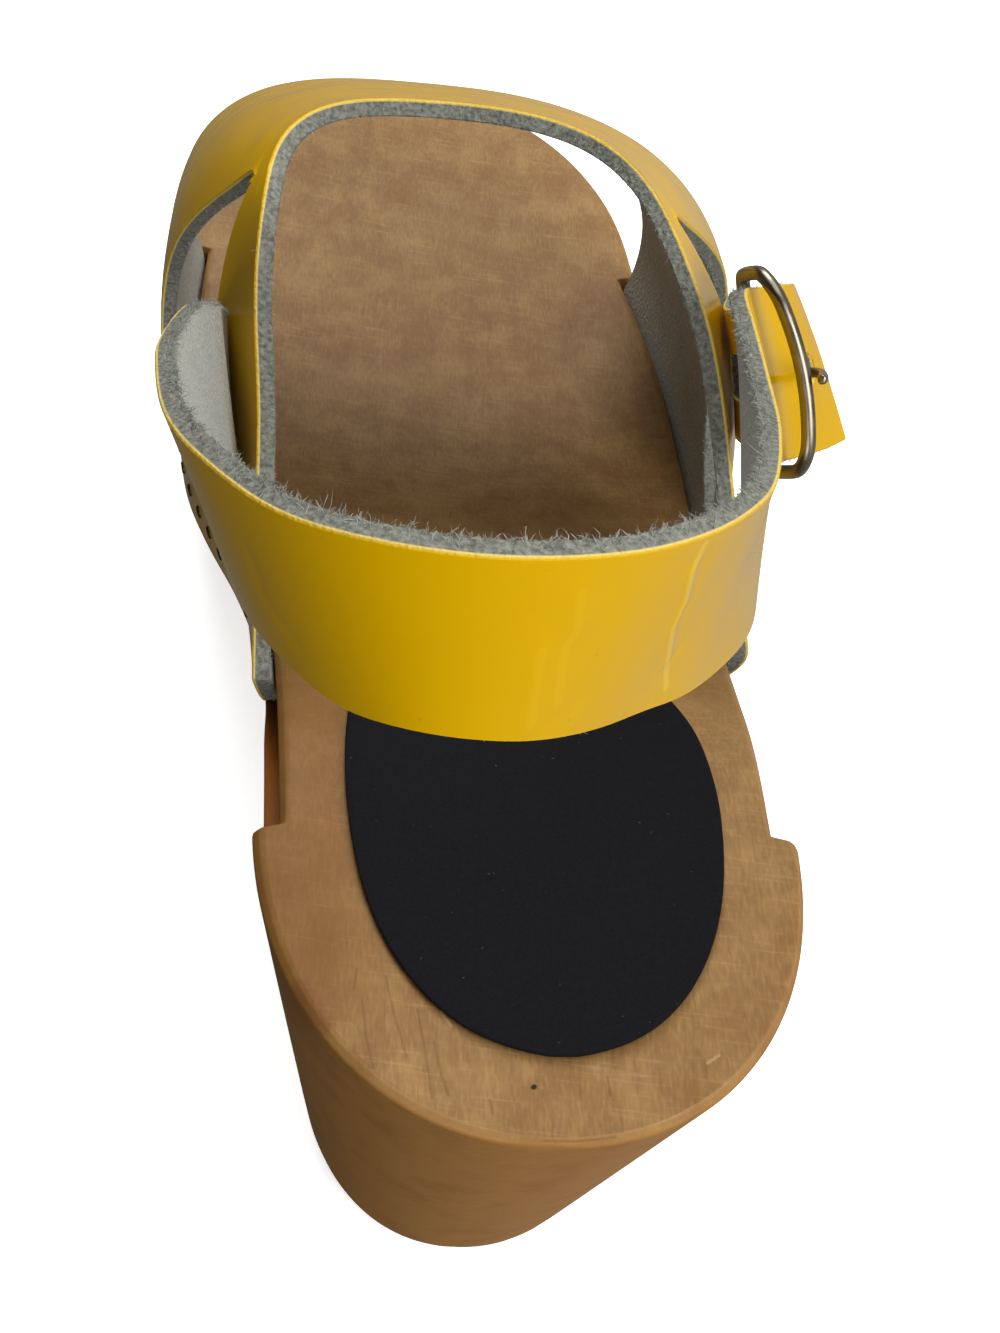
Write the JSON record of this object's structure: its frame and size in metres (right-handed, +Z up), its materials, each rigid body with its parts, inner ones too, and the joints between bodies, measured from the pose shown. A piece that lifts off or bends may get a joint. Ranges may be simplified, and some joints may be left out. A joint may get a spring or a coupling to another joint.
{
  "type": "slingback clog sandal",
  "caption": "Open-toed slingback sandal for the right foot: patent leather upper nailed to a high-heeled one-piece wooden sole, with a buckled strap round the ankle.",
  "frame": {"origin": "on the floor, on the flat bottom of the heel, under the middle of the heel seat's widest line", "axes": "+X to the outer side of the right foot, +Y to the toe, +Z up"},
  "size_m": [0.0983, 0.2454, 0.1453],
  "materials": {
    "wood": "light wood, sanded and lightly oiled, worn",
    "label": "black, matt, slightly napped",
    "upper_leather": "yellow patent outside, grey flesh inside",
    "strap_leather": "yellow patent outside, grey flesh inside",
    "tab_leather": "yellow patent outside, grey flesh inside",
    "frame_metal": "dark nickel plate, polished",
    "prong_metal": "dark nickel plate, polished"
  },
  "bodies": {
    "root": {"wooden_sole": "wood", "seat_label": "label", "upper": "upper_leather", "sling_strap": "strap_leather", "buckle_tab": "tab_leather", "buckle_frame": "frame_metal", "buckle_prong": "prong_metal"}
  },
  "joints": []
}
